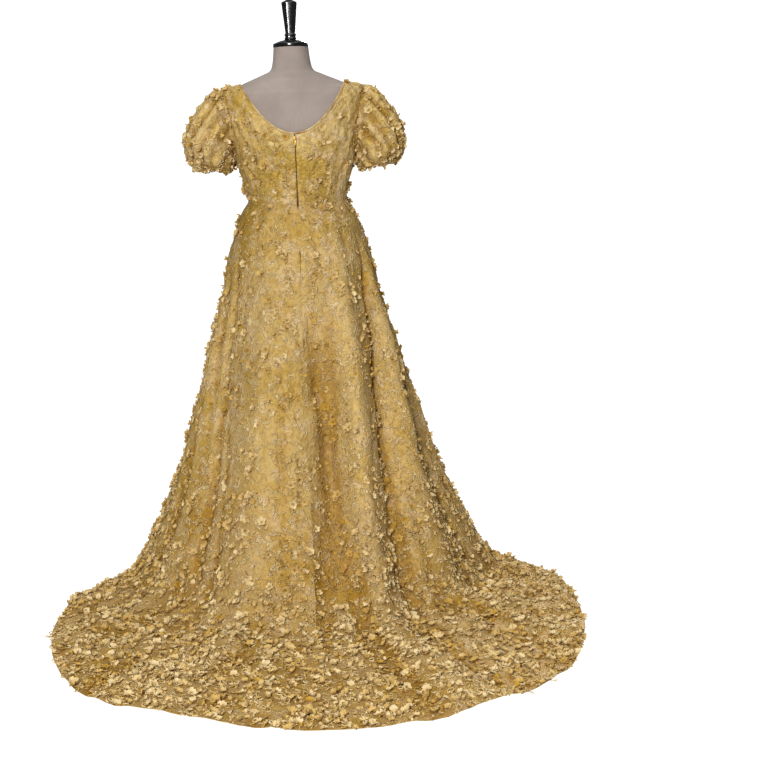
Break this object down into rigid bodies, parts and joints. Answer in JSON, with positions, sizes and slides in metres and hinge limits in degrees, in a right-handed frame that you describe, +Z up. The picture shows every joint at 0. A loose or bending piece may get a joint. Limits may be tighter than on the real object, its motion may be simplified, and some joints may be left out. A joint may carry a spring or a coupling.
{
  "type": "regency gown on a dress form",
  "caption": "High-waisted gown with a wide scooped neck, short puff sleeves, a back zip and a long round train, worn by a limbless linen dress form with a black finial.",
  "frame": {"origin": "on the floor, at the middle of the underside of the form's round base, under the pole", "axes": "+Z up, -Y the way the wearer faces, +Y along the train, +X the wearer's left"},
  "size_m": [1.3734, 1.6217, 1.6153],
  "materials": {
    "gold_satin": "old gold satin under gold lace, with cream cloth blossoms, soft sheen",
    "zip_tape": "woven brown-gold tape",
    "zip_metal": "dull brass",
    "linen": "plain grey-beige linen, matt",
    "black_lacquer": "glossy black",
    "stand_steel": "black paint, half gloss"
  },
  "bodies": {
    "gown_on_form": {"bodice_front": "gold_satin", "bodice_back_left": "gold_satin", "bodice_back_right": "gold_satin", "neck_binding": "gold_satin", "waistband": "gold_satin", "sleeve_left": "gold_satin", "sleeve_right": "gold_satin", "sleeve_band_left": "gold_satin", "sleeve_band_right": "gold_satin", "skirt_front": "gold_satin", "skirt_back_left": "gold_satin", "skirt_back_right": "gold_satin", "zip_tape": "zip_tape", "zip_slider": "zip_metal", "form_torso": "linen", "form_neck_cap": "black_lacquer", "form_finial": "black_lacquer", "form_pole": "stand_steel", "form_base": "stand_steel"},
    "pull": {"zip_pull": "zip_metal"}
  },
  "joints": [
    {"name": "pull_swing", "type": "hinge", "parent": "gown_on_form", "child": "pull", "pos_m": [0, 0.11127, 1.2333], "axis": [1, 0, 0], "range_deg": [0, 150]}
  ]
}
